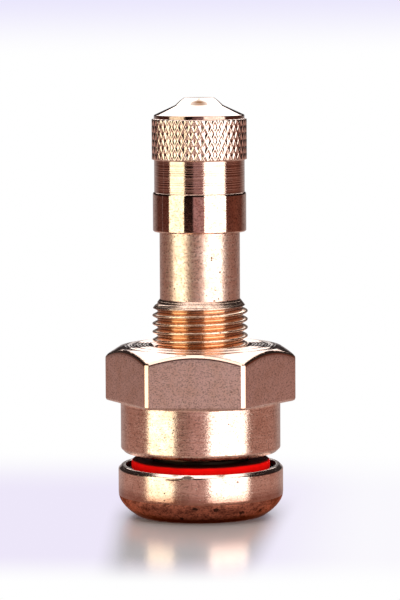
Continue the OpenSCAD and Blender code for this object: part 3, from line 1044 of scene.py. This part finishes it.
@dataclass
class Stem:
    """Foot, shank, neck and mouth in one piece, with both threads and the bore. Sizes are in millimetres."""

    columns: int = 128
    foot_r: float = 8.4
    foot_h: float = 5.12
    foot_bevel: float = 1.8
    foot_bulge: float = 0.20
    foot_chamfer: float = 0.35
    recess_r: float = 7.65
    recess_z: float = 4.47
    shank_r: float = 4.85
    shank_pitch: float = 0.84
    shank_depth: float = 0.62
    shank_fades: Span = (0.6, 0.01)
    thread_z: float = 5.92
    thread_phase: float = -0.32
    shank_top: float = 21.05
    neck_z: float = 22.05
    neck_r: float = 4.07
    neck_top: float = 29.5
    mouth_r: float = 3.85
    mouth_pitch: float = 0.794
    mouth_depth: float = 0.58
    mouth_fades: Span = (0.6, 0.25)
    mouth_thread_z: float = 30.4
    mouth_z: float = 39.0
    mouth_chamfer: float = 0.3
    air_r: float = 1.9
    air_chamfer: float = 0.3
    seat_r: float = 2.4
    seat_z: float = 31.7
    seat_l: float = 1.9
    core_bore_r: float = 2.6

    def build(self, rules: Rules) -> bpy.types.Object:
        """Builds and dresses the stem. The depths of its threads are shares of their pitches.

        Args:
            rules: the geometry rules.

        Returns:
            The piece.
        """
        solid = Solid("stem_body")
        bulge = self.foot_bevel / 2 - self.foot_bulge / math.sqrt(2)
        thread_top = self.mouth_z - self.mouth_chamfer
        solid.turn(
            [
                Corner(self.air_r + self.air_chamfer, 0.0, BEVEL, 0.05),
                Corner(self.foot_r - self.foot_bevel, 0.0, BEVEL, 0.5),
                Corner(self.foot_r - bulge, bulge, BEVEL, 6.0),
                Corner(self.foot_r, self.foot_bevel, FOOT, 1.7),
                Corner(self.foot_r, self.foot_h - self.foot_chamfer, RIM, 0.25),
                Corner(self.foot_r - self.foot_chamfer, self.foot_h, RIM, 0.12),
                # The recess and the shank below the thread: painted shade.
                Corner(self.recess_r, self.foot_h, RECESS_SHADE, 0.09),
                Corner(self.recess_r, self.recess_z, RECESS_SHADE, 0.12),
                Corner(self.shank_r, self.recess_z, RECESS_SHADE, 0.08),
                Corner(self.shank_r, self.thread_z, None),
                Corner(self.neck_r, self.neck_z, NECK),
                Corner(self.neck_r, self.neck_top, NECK, 0.05),
                Corner(self.mouth_r, self.neck_top, MOUTH_THREAD, 0.03),
                Corner(self.mouth_r, self.mouth_thread_z, None),
                Corner(self.mouth_r, thread_top, MOUTH_THREAD),
                Corner(self.mouth_r - self.mouth_chamfer, self.mouth_z, MOUTH_THREAD, 0.05),
                Corner(self.core_bore_r + self.mouth_chamfer, self.mouth_z, BORE, 0.05),
                Corner(self.core_bore_r, thread_top, BORE),
                Corner(self.core_bore_r, self.seat_z + self.core_bore_r - self.seat_r, BORE),
                Corner(self.seat_r, self.seat_z, BORE),
                Corner(self.air_r, self.seat_z - self.seat_l, BORE),
                Corner(self.air_r, self.air_chamfer, BORE),
            ],
            self.columns,
        )
        slope = (self.shank_r - self.neck_r) / (self.neck_z - self.shank_top)
        rules.screw(
            solid, SHANK_THREAD, self.columns, self.shank_r, self.shank_depth * self.shank_pitch,
            self.shank_pitch, (self.thread_z, self.neck_z), self.shank_fades, (self.shank_top, slope),
            self.thread_phase,
        )
        solid.refinish(SHANK_THREAD, CONE, lambda middle: middle.z > self.shank_top * MM)
        solid.soft.add(solid.slot(CONE))
        rules.screw(
            solid, MOUTH_THREAD, self.columns, self.mouth_r, self.mouth_depth * self.mouth_pitch,
            self.mouth_pitch, (self.mouth_thread_z, thread_top), self.mouth_fades,
        )
        return settle(solid.piece(), "stem", "stem_brass", "valve_body")


@dataclass
class SealRing:
    """The flat red ring in the foot's recess. Sizes are in millimetres."""

    columns: int = 160
    hole_r: float = 4.92
    width: float = 2.14
    ring_z: float = 4.5
    height: float = 1.2
    rounding: float = 0.35

    def build(self) -> bpy.types.Object:
        """Builds the ring.

        Returns:
            The piece.
        """
        solid = Solid("sealing_ring")
        out, top = self.hole_r + self.width, self.ring_z + self.height
        outline = ((self.hole_r, self.ring_z), (out, self.ring_z), (out, top), (self.hole_r, top))
        solid.turn([Corner(r, z, RING_RED, self.rounding) for r, z in outline], self.columns)
        return settle(solid.piece(sharp=40.0), "stem", "red_rubber", "seal_ring")


# Rings along the hexagon's upper and lower edge: inset and lift in edge widths, and the finish after them.
UPPER_EDGE = ((0.42, 0.02, HEX_CORNER), (0.1, -0.4, HEX_CORNER), (0.0, -1.0, HEX_FLAT), (0.0, -2.5, HEX_FLAT))
LOWER_EDGE = ((0.0, 3.0, HEX_FLAT), (0.0, 1.0, HEX_FLAT), (0.3, 0.3, HEX_FLAT), (1.0, 0.0, COLLAR))
GROOVE_STEPS = 8
RIM_STEPS = 5


@dataclass
class CollarNut:
    """The hexagon nut with its round collar. Sizes are in millimetres."""

    sector: int = 43
    nut_z: float = 6.48
    hex_z: float = 11.63
    nut_top: float = 17.38
    flat_r: float = 8.5
    corner_r: float = 9.68
    top_r: float = 7.90
    slope: float = math.tan(math.radians(33))
    collar_r: float = 8.13
    collar_chamfer: float = 0.4
    bore_r: float = 4.92
    bore_chamfer: float = 0.4
    pitch: float = 0.84
    thread_depth: float = 0.5
    fades: Span = (0.5, 0.5)
    edge: float = 0.26
    corner_blend: float = 0.04
    crown_from: float = 5.4
    crown_drop: float = 0.22
    groove_depth: float = 0.08
    grooves: int = 7
    uneven_share: float = 0.35
    uneven_rate: float = 37.0
    face_gaps: Span = (0.12, 0.18)
    rim_gap: float = 0.1

    def reach(self, angle: float) -> float:
        """The hexagon's radius, with its turned corners and their softened edges.

        Args:
            angle: the angle around the axis in radians.

        Returns:
            The radius in millimetres.
        """
        off = (angle + math.pi / 6) % (math.pi / 3) - math.pi / 6
        flat = self.flat_r / math.cos(math.pi / 6 - abs(off))
        near = max(self.corner_blend - abs(flat - self.corner_r), 0.0) / self.corner_blend
        return min(flat, self.corner_r) - near * near * self.corner_blend / 4

    def angles(self) -> list[float]:
        """The hexagon's points, close together near its corners.

        Returns:
            The points' angles in radians.
        """
        shares = [k / self.sector for k in range(2 * self.sector)]
        within = [30 * t * t if t <= 1 else 60 - 30 * (2 - t) ** 2 for t in shares]
        return [math.radians(60 * corner + turn) for corner in range(6) for turn in within]

    def arc(self, angle: float) -> float:
        """The height at which the top's chamfer meets the hexagon at an angle."""
        return self.nut_top - (self.reach(angle) - self.top_r) * self.slope

    def top(self, r: float) -> float:
        """The top's height at a radius: a face that bends down towards its edge, then the chamfer."""
        bend = max(r - self.crown_from, 0.0) / (self.flat_r - self.edge - self.crown_from)
        return self.nut_top - max(self.crown_drop * bend ** 4, (r - self.top_r) * self.slope)

    def rim(self, angle: float, share: float) -> tuple[float, float]:
        """Radius and height between the top face and the hexagon's edge.

        Args:
            angle: the angle around the axis in radians.
            share: the share of the way out.

        Returns:
            Radius and height in millimetres.
        """
        start = self.top_r - self.rim_gap
        r = start + (self.reach(angle) - self.edge - start) * share
        return r, self.top(r)

    def face(self, share: float) -> tuple[float, float]:
        """Radius and height on the top face, with its turned grooves.

        Args:
            share: how far out the point lies on the face, from 0 to 1.

        Returns:
            Radius and height in millimetres.
        """
        inner, outer = self.face_gaps
        start, end = self.bore_r + self.bore_chamfer + inner, self.top_r - outer
        r = start + (end - start) * share
        uneven = 1.0 - self.uneven_share * (1.0 - math.sin(self.uneven_rate * share))
        wave = 0.5 - 0.5 * math.cos(2 * math.pi * self.grooves * share)
        return r, self.top(r) - self.groove_depth * uneven * wave

    def beside(self, base: Callable[[float], float], inset: float, lift: float) -> Place:
        """A ring along the hexagon, moved in from it and up from a base height, in edge widths."""
        return lambda angle: (self.reach(angle) - inset * self.edge, base(angle) + lift * self.edge)

    def at_corner(self, middle: Vector) -> bool:
        """Whether a point lies at one of the hexagon's turned corners."""
        return self.reach(math.atan2(middle.y, middle.x)) > self.corner_r - 0.5 * self.corner_blend

    def rows(self) -> list[Row]:
        """The nut's rings, from the bore over the top and the collar back to the bore.

        Returns:
            Each ring's angles and place, and the finish that follows it.
        """
        inner, outer = evenly(6 * self.sector), self.angles()
        wide, steps = self.bore_r + self.bore_chamfer, GROOVE_STEPS * self.grooves
        chamfer, foot = self.collar_chamfer, self.nut_z + self.collar_chamfer
        mouth = [
            (self.bore_r, self.nut_top - self.bore_chamfer), (wide - 0.05, self.nut_top - 0.05),
            (wide, self.nut_top - 0.012), (wide + 0.05, self.nut_top),
        ]
        collar = [
            (0.08, self.hex_z), (0.02, self.hex_z - 0.02), (0.0, self.hex_z - 0.08), (0.0, self.hex_z - 0.2),
            (0.0, foot + 0.16), (0.0, foot + 0.06), (-0.03, foot - 0.04),
            (0.04 - chamfer, self.nut_z + 0.03), (-0.05 - chamfer, self.nut_z), (-0.15 - chamfer, self.nut_z),
        ]
        mouth += [self.face(k / steps) for k in range(steps)]
        rows: list[Row] = [(inner, level(r, z), HEX_TOP) for r, z in mouth]
        rows.append((outer, level(*self.face(1.0)), HEX_TOP))
        rows += [(outer, partial(self.rim, share=k / RIM_STEPS), HEX_TOP) for k in range(RIM_STEPS)]
        rows.append((outer, partial(self.rim, share=1.0), HEX_CORNER))
        for base, edge in ((self.arc, UPPER_EDGE), (lambda _: self.hex_z, LOWER_EDGE)):
            rows += [(outer, self.beside(base, inset, lift), finish) for inset, lift, finish in edge]
        rows += [(outer, level(self.collar_r + out, z), COLLAR) for out, z in collar]
        rows.append((inner, level(wide, self.nut_z), BORE))
        rows.append((inner, level(self.bore_r, self.nut_z + self.bore_chamfer), None))
        return rows

    def build(self, rules: Rules) -> bpy.types.Object:
        """Builds and dresses the nut.

        Args:
            rules: the geometry rules.

        Returns:
            The piece.
        """
        solid = Solid("hexagon_collar_nut")
        solid.loft(self.rows())
        solid.refinish(HEX_FLAT, HEX_CORNER, self.at_corner)
        run = (self.nut_z + self.bore_chamfer, self.nut_top - self.bore_chamfer)
        depth = -self.thread_depth * self.pitch
        rules.screw(solid, BORE, 6 * self.sector, self.bore_r, depth, self.pitch, run, self.fades)
        return settle(solid.piece(sharp=20.0), "nut", "nut_brass", "collar_nut")


@dataclass
class Cap:
    """The screw cap: band, turned sleeve, diamond knurl and crown. Sizes are in millimetres."""

    diamonds: int = 43
    per_diamond: int = 16
    half_rows: int = 6
    cap_z: float = 28.90
    band_r: float = 4.735
    band_top: float = 32.87
    band_chamfer: float = 0.12
    shoulder_h: float = 0.28
    shoulder_steps: int = 8
    sleeve_r: float = 4.585
    knurl_z: float = 36.12
    knurl_top: float = 40.32
    tip_r: float = 4.81
    knurl_depth: float = 0.078
    ridge_share: float = 0.33
    end_slope: float = 4.0
    rim_z: float = 40.66
    crown_r: float = 2.4
    crown_z: float = 41.66
    pip_r: float = 1.5
    pip_z: float = 42.41
    skirt_r: float = 4.17
    skirt_z: float = 29.6
    bore_r: float = 3.92
    gasket_r: float = 3.58
    gasket_z: float = 39.03
    roof_z: float = 40.26

    def shoulder(self) -> list[Corner]:
        """The rounded shoulder on top of the band.

        Returns:
            Its corners, from a plain run under it upwards.
        """
        width, height = self.band_r - self.sleeve_r - 0.01, self.shoulder_h
        corners = [Corner(self.band_r, self.band_top - height - 0.1, BAND)]
        for k in range(self.shoulder_steps + 1):
            t = math.pi / 2 * k / self.shoulder_steps
            r, z = self.band_r - width * (1 - math.cos(t)), self.band_top - height * (1 - math.sin(t))
            corners.append(Corner(r, z, BAND))
        return corners

    def build(self, rules: Rules) -> bpy.types.Object:
        """Builds and dresses the cap.

        Args:
            rules: the geometry rules.

        Returns:
            The piece.
        """
        solid = Solid("sealing_cap")
        columns = self.diamonds * self.per_diamond
        waist = ((self.crown_r + self.pip_r) / 2 + 0.025, (self.crown_z + self.pip_z) / 2 + 0.03)
        solid.turn(
            [
                Corner(self.skirt_r, self.cap_z, BAND),
                Corner(self.band_r - self.band_chamfer, self.cap_z, BAND, 0.03),
                Corner(self.band_r, self.cap_z + self.band_chamfer, BAND, 0.06),
                *self.shoulder(),
                Corner(self.sleeve_r, self.band_top, SLEEVE),
                Corner(self.sleeve_r, self.knurl_z, None),
                Corner(self.sleeve_r, self.knurl_top, CAP_RIM),
                Corner(self.sleeve_r, self.rim_z, CROWN, 0.14),
                Corner(self.crown_r, self.crown_z, CROWN, 0.3),
                Corner(*waist, CROWN, 3.0),
                Corner(self.pip_r, self.pip_z, CROWN, 0.10),
                Corner(0.0, self.pip_z, None),
                Corner(0.0, self.roof_z, BORE),
                Corner(self.gasket_r, self.roof_z, BORE),
                Corner(self.gasket_r, self.gasket_z, BORE),
                Corner(self.bore_r, self.gasket_z, BORE),
                Corner(self.bore_r, self.skirt_z, BORE),
                Corner(self.skirt_r, self.skirt_z, BORE),
            ],
            columns,
        )
        mesh = rules.knurl.make(
            KNURL, Tip=self.tip_r * MM, Valley=(self.tip_r - self.knurl_depth) * MM, Base=self.sleeve_r * MM,
            Bottom=self.knurl_z * MM, Top=self.knurl_top * MM, Around=float(self.diamonds),
            Up=self.half_rows / 2, Ridge=self.ridge_share, End_Slope=self.end_slope, Columns=columns,
            Rows=self.per_diamond * self.half_rows // 2,
        )
        solid.add(mesh, KNURL)
        return settle(solid.piece(), "cap", "cap_brass", "cap_shell")


@dataclass
class Core:
    """The spring-loaded core in the bore. Sizes are in millimetres."""

    coil_r: float = 0.975
    wire_r: float = 0.14
    wire_sides: int = 12
    spring_z: float = 26.50
    spring_top: float = 31.99
    turns: int = 8
    turn_steps: int = 48
    travel: float = 1.3

    def spring(self, rules: Rules) -> bpy.types.Object:
        """Builds the spring that the pin presses together in the real valve; here it keeps its length.

        Args:
            rules: the geometry rules.

        Returns:
            The piece.
        """
        length = self.spring_top - self.spring_z
        mesh = rules.coil.make(
            WIRE, Radius=self.coil_r * MM, Height=(length - 2 * self.wire_r) * MM, Wire=self.wire_r * MM,
            Base=(self.spring_z + self.wire_r) * MM, Turns=float(self.turns), Steps=self.turn_steps,
            Sides=self.wire_sides,
        )
        solid = Solid("pin_spring")
        solid.add(mesh, WIRE)
        piece = settle(solid.piece(), "stem", "spring_steel", "core_spring")
        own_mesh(piece)
        return piece

    def dress(self, nodes: Mapping[str, bpy.types.Object]) -> None:
        """Gives the core's other CAD nodes and the cap's disc their finishes.

        Args:
            nodes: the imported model's nodes by name.
        """
        finishes: dict[str, Finish] = {
            "core_plug": CORE, "core_barrel": CORE, "core_pin": CORE, "core_plunger": CORE,
            "core_gasket": RED, "plunger_seal": BLACK, "cap_gasket": BLACK,
        }
        for name, finish in finishes.items():
            node = nodes[name]
            if not node.material_slots:
                node.data.materials.append(finish.material())
            for slot in node.material_slots:
                slot.material = finish.material()
            LOG.info("%s: dressed as %s", name, finish.name)


@dataclass(frozen=True)
class Softbox:
    """A lamp's soft panel: bearing from the camera and rise in degrees, sizes in metres."""

    name: str
    bearing: float
    rise: float
    distance: float
    width: float
    height: float
    radiance: float
    colour: Colour
    lift: float = 0.0


@dataclass(frozen=True)
class Zone:
    """A part of the room under eye level: the rise in degrees over which it sets in, its share and colour."""

    span: Span
    share: float
    colour: Colour
    weak_behind: bool = False


# The room's colours at eye level, by bearing from the camera in degrees.
WALL: tuple[tuple[float, Colour], ...] = (
    (-180, (0.50, 0.47, 0.48)), (-146, (0.34, 0.29, 0.29)), (-124, (0.11, 0.050, 0.040)),
    (-104.6, (0.10, 0.036, 0.028)), (-103.6, (0.42, 0.36, 0.37)), (-102.6, (0.10, 0.036, 0.028)),
    (-88, (0.10, 0.034, 0.026)), (-44, (0.010, 0.005, 0.005)), (-17, (0.010, 0.005, 0.005)),
    (-14, (0.43, 0.27, 0.29)), (12, (0.47, 0.30, 0.32)), (72, (0.12, 0.040, 0.028)),
    (100, (0.17, 0.060, 0.040)), (124, (0.13, 0.055, 0.042)), (146, (0.34, 0.29, 0.28)),
    (180, (0.50, 0.47, 0.48)),
)
# Under eye level the room stands in for the floor, which metal doesn't see; the two lowest zones are darker
# as a painted shadow of the valve on it.
ZONES = (
    Zone((-2.2, -3.4), 0.55, (0.48, 0.25, 0.205), True),
    Zone((-6.8, -9.2), 0.58, (0.68, 0.46, 0.42), True),
    Zone((-12.0, -20.0), 1.0, (0.52, 0.40, 0.36)),
    Zone((-34.0, -52.0), 1.0, (0.30, 0.20, 0.17)),
)


@dataclass
class Studio:
    """Camera, floor, lamps and the dark room around them. Angles are in degrees, lengths in metres."""

    camera_bearing: float = 3.76
    camera_distance: float = 0.320
    camera_height: float = 0.05217
    camera_pitch: float = math.degrees(0.0944)
    camera_roll: float = math.degrees(-0.0049)
    focal_px: float = 3164.6
    image_height: int = 600
    floor_r: float = 0.16
    room_r: float = 0.80
    room_columns: int = 72
    room_rows: int = 36
    room_rise: Span = (-89.0, 85.0)
    sheet: float = 1.1
    bar_half: Span = (0.16, 0.08)
    bar_back: float = 0.04
    bar_height: float = 0.45
    plain_light: float = 0.30
    softboxes: tuple[Softbox, ...] = (
        Softbox("left_softbox", -59.6, 0.0, 0.5, 0.378, 0.66, 2.3, (0.96, 1.0, 0.77), 0.22),
        Softbox("right_softbox", 40.0, 0.0, 0.5, 0.532, 0.66, 2.9, (0.96, 1.0, 0.97), 0.22),
        Softbox("top_softbox", 180.0, 68.0, 0.5, 0.66, 1.0, 1.9, WHITE),
    )

    def outward(self, bearing: float, rise: float = 0.0) -> Vector:
        """The direction from the object at a bearing from the camera and a rise, in degrees."""
        turn, lift = math.radians(bearing + self.camera_bearing), math.radians(rise)
        return Vector((math.sin(turn) * math.cos(lift), -math.cos(turn) * math.cos(lift), math.sin(lift)))

    def camera(self) -> None:
        """Sets the camera up at the photograph's viewpoint."""
        data = bpy.data.cameras.new("camera")
        data.sensor_width = 36.0
        data.lens = self.focal_px / self.image_height * data.sensor_width
        data.clip_start = 0.01
        view = Matrix.Rotation(math.radians(self.camera_bearing), 4, "Z")
        view = view @ Matrix.Rotation(math.pi / 2 - math.radians(self.camera_pitch), 4, "X")
        view = view @ Matrix.Rotation(math.radians(self.camera_roll), 4, "Z")
        camera = linked("camera", data)
        place = self.outward(0.0) * self.camera_distance + Vector((0, 0, self.camera_height))
        camera.matrix_world = Matrix.Translation(place) @ view
        bpy.context.scene.camera = camera

    def lamps(self) -> None:
        """Hangs the soft panels."""
        for box in self.softboxes:
            data = bpy.data.lights.new(box.name, "AREA")
            data.shape = "RECTANGLE"
            data.size, data.size_y = box.width, box.height
            data.color = box.colour
            data.energy = box.radiance * math.pi * box.width * box.height
            lamp = linked(box.name, data)
            out = self.outward(box.bearing, box.rise)
            place = out * box.distance + Vector((0, 0, box.lift))
            lamp.matrix_world = Matrix.Translation(place) @ out.to_track_quat("Z", "Y").to_matrix().to_4x4()
            lamp.visible_camera = False

    def card(self, name: str, bm: bmesh.types.BMesh, skin: bpy.types.Material) -> None:
        """Adds a piece of the room that only mirror-like surfaces see.

        Args:
            name: its name.
            bm: its faces.
            skin: its material.
        """
        card = meshed(name, bm, [skin])
        for ray in ("camera", "diffuse", "transmission", "volume_scatter", "shadow"):
            setattr(card, f"visible_{ray}", False)

    def floor_shader(self, g: Graph) -> Socket:
        """Makes the floor glossy near the valve and pale paper further out.

        Args:
            g: the material's node tree.

        Returns:
            The shader.
        """
        place = g.millimetres()
        x, y, _ = g.split(place)
        mottle = g.noise(place, 0.05, 3.0)
        colour = g.blend(mottle.ramp(0.3, 0.7) * 0.5, (0.64, 0.62, 0.66), (0.68, 0.66, 0.69))
        # A warm pink patch in front of the foot: painted reflection of the brass on the floor.
        near = abs(x).ramp(9.0, 5.0) * y.ramp(-24.0, -12.0)
        colour = g.blend(near * 0.6, colour, (0.70, 0.58, 0.56))
        gloss = {"Roughness": 0.19, "IOR": 1.6, "Coat Weight": 0.7, "Coat Roughness": 0.16}
        shiny = g.out("ShaderNodeBsdfPrincipled", {"Base Color": colour, **gloss})
        # A lavender band on the glowing paper around the valve, fainter to the right: painted shade.
        tint = y.ramp(45.0, 12.0) * y.ramp(-40.0, -24.0) * (1.0 - 0.7 * x.ramp(4.0, 18.0))
        paper = g.glow(g.blend(tint * abs(x).ramp(110.0, 40.0), WHITE, (0.85, 0.80, 0.95)))
        seen = Sock(g, g.node("ShaderNodeLightPath").outputs["Is Camera Ray"])
        behind, ahead = y.ramp(-6.0, 14.0), y.ramp(-24.0, -40.0)
        aside = (abs(x) - y * 0.05).ramp(6.2, 9.8)
        share = (1.0 - (1.0 - behind) * (1.0 - ahead) * (1.0 - aside)) * seen
        return g.mixed(share, shiny, paper)

    def floor(self) -> None:
        """Lays the pale glossy floor."""
        bm = bmesh.new()
        bmesh.ops.create_circle(bm, cap_ends=True, segments=128, radius=self.floor_r)
        floor = meshed("floor", bm, [paint("pale_glossy_floor", self.floor_shader)])
        floor.visible_glossy = False

    def wall_shader(self, g: Graph) -> Socket:
        """Colours the room by bearing and rise, with a gap for the white sheet behind the valve.

        Args:
            g: the material's node tree.

        Returns:
            The shader.
        """
        x, y, z = g.split(g.millimetres())
        turn = math.radians(self.camera_bearing)
        side = x * math.cos(turn) + y * math.sin(turn)
        front = x * math.sin(turn) - y * math.cos(turn)
        bearing = g.math("ARCTAN2", side, front) * math.degrees(1.0)
        rise = g.math("ARCSINE", z / (self.room_r / MM)) * math.degrees(1.0)
        wall = g.tones((bearing + 180.0) / 360.0, [((b + 180) / 360, c) for b, c in WALL])
        colour = g.blend(rise.ramp(1.0, 8.0) * 0.95, wall, (0.012, 0.008, 0.008))
        off = 180.0 - abs(bearing)
        far = rise.ramp(16.0, 20.0) * off.ramp(10.0, 12.0) * (off - (rise * 0.5 + 6.0)).ramp(3.0, 0.0)
        colour = g.blend(far, colour, (0.45, 0.43, 0.45))
        weaker = 1.0 - 0.5 * abs(bearing).ramp(124.0, 146.0)
        for zone in ZONES:
            share = rise.ramp(*zone.span) * zone.share
            colour = g.blend(share * weaker if zone.weak_behind else share, colour, zone.colour)
        behind = off.ramp(self.sheet + 1.0, self.sheet) * rise.ramp(26.0, 24.0) * rise.ramp(-12.0, -10.0)
        slit = rise.ramp(3.8, 4.3) * rise.ramp(6.0, 5.5)
        return g.glow(g.blend(behind * (1.0 - 0.7 * slit), colour, WHITE))

    def bar_shader(self, g: Graph) -> Socket:
        """Makes the overhead bar brown in the middle and white at its edge.

        Args:
            g: the material's node tree.

        Returns:
            The shader.
        """
        x, y, _ = g.split(g.millimetres())
        back = self.outward(180.0).y * self.bar_back
        wide, deep = self.bar_half
        reach = norm(x / (wide / MM), (y - back / MM) / (deep / MM))
        return g.glow(g.blend(reach.ramp(0.95, 0.15), WHITE, (0.40, 0.24, 0.12)))

    def room(self) -> None:
        """Puts the dark room and its overhead bar around the valve, which only bright metal shows."""
        bm = bmesh.new()
        bearings = [-180 + 360 * j / self.room_columns for j in range(self.room_columns + 1)]
        lowest, highest = self.room_rise
        climb = (highest - lowest) / self.room_rows
        rises = [lowest + climb * i for i in range(self.room_rows + 1)]
        grid = [[bm.verts.new(self.outward(b, rise) * self.room_r) for b in bearings] for rise in rises]
        for low, high in zip(grid, grid[1:]):
            for j in range(self.room_columns):
                bm.faces.new((low[j], low[j + 1], high[j + 1], high[j]))
        self.card("room_wall", bm, paint("dark_room", self.wall_shader))
        bm = bmesh.new()
        bmesh.ops.create_circle(bm, cap_ends=True, segments=48, radius=1.0)
        place = self.outward(180.0) * self.bar_back + Vector((0, 0, self.bar_height))
        shape = Matrix.Translation(place) @ Matrix.Diagonal((*self.bar_half, 1.0, 1.0))
        bmesh.ops.transform(bm, matrix=shape, verts=bm.verts)
        self.card("overhead_bar", bm, paint("overhead_bar", self.bar_shader))

    def backdrop(self) -> None:
        """Makes the world white to the camera and to bright metal, and a plain level of light elsewhere."""
        world = bpy.data.worlds.new("studio")
        bpy.context.scene.world = world
        world.use_nodes = True
        g = Graph(world.node_tree)
        rays = g.node("ShaderNodeLightPath").outputs
        seen = Sock(g, rays["Is Camera Ray"])
        shown = seen.most(Sock(g, rays["Is Glossy Ray"])).most(Sock(g, rays["Is Transmission Ray"]))
        _, _, rise = g.split(g.node("ShaderNodeTexCoord").outputs["Generated"])
        colour = g.blend(rise.ramp(-0.018, 0.004) * seen, WHITE, (0.82, 0.79, 0.98))
        bright = g.out("ShaderNodeBackground", {"Color": colour, "Strength": 1.0})
        plain = g.out("ShaderNodeBackground", {"Color": (*WHITE, 1.0), "Strength": self.plain_light})
        g.node("ShaderNodeOutputWorld", {0: g.mixed(shown, plain, bright)})

    def build(self) -> None:
        """Sets the whole studio up."""
        bpy.context.scene.view_settings.view_transform = "Standard"
        self.camera()
        self.lamps()
        self.floor()
        self.room()
        self.backdrop()


def main() -> None:
    """Builds the studio and the valve, piece by piece."""
    logging.basicConfig(level=logging.INFO, format="%(message)s")
    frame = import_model()
    Studio().build()
    rules = Rules()
    core = Core()
    for piece in (
        Stem().build(rules),
        SealRing().build(),
        CollarNut().build(rules),
        Cap().build(rules),
        core.spring(rules),
    ):
        LOG.info("built %s", piece.name)
    core.dress(frame["nodes"])


if __name__ == "__main__":
    main()
